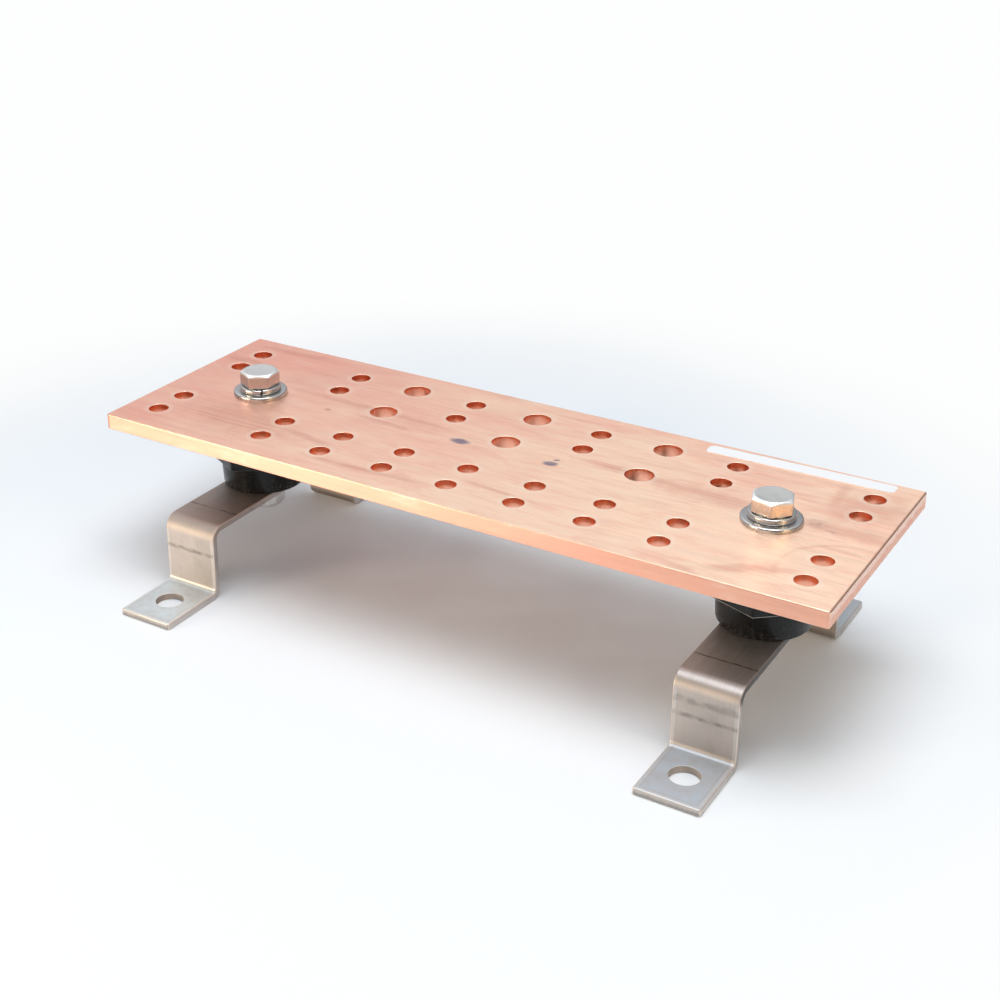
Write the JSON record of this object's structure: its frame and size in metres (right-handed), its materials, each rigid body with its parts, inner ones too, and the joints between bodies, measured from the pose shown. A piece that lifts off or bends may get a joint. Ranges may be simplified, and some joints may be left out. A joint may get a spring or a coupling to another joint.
{
  "type": "copper grounding busbar with insulators and brackets",
  "caption": "Flat drilled copper busbar raised on moulded stand-off insulators and bent steel wall brackets.",
  "frame": {"origin": "on the mounting surface under the centre of the bar", "axes": "+X along the bar, +Y across it, away from the near edge with nine small hole pairs, +Z away from the wall"},
  "size_m": [0.3048, 0.1604, 0.0807],
  "materials": {
    "copper": "mill finish copper, grain along the bar",
    "label": "white label strip, blank",
    "bracket_steel": "satin stainless strip with bend marks",
    "fastener_steel": "bright stainless",
    "insulator": "black moulded thermoset, slightly dusty"
  },
  "bodies": {
    "root": {"copper_bar": "copper", "label_strip": "label", "bracket_left": "bracket_steel", "insulator_left": "insulator", "top_flat_washer_left": "fastener_steel", "top_lock_washer_left": "fastener_steel", "top_bolt_left": "fastener_steel", "bottom_lock_washer_left": "fastener_steel", "bottom_bolt_left": "fastener_steel", "bracket_right": "bracket_steel", "insulator_right": "insulator", "top_flat_washer_right": "fastener_steel", "top_lock_washer_right": "fastener_steel", "top_bolt_right": "fastener_steel", "bottom_lock_washer_right": "fastener_steel", "bottom_bolt_right": "fastener_steel"}
  },
  "joints": []
}
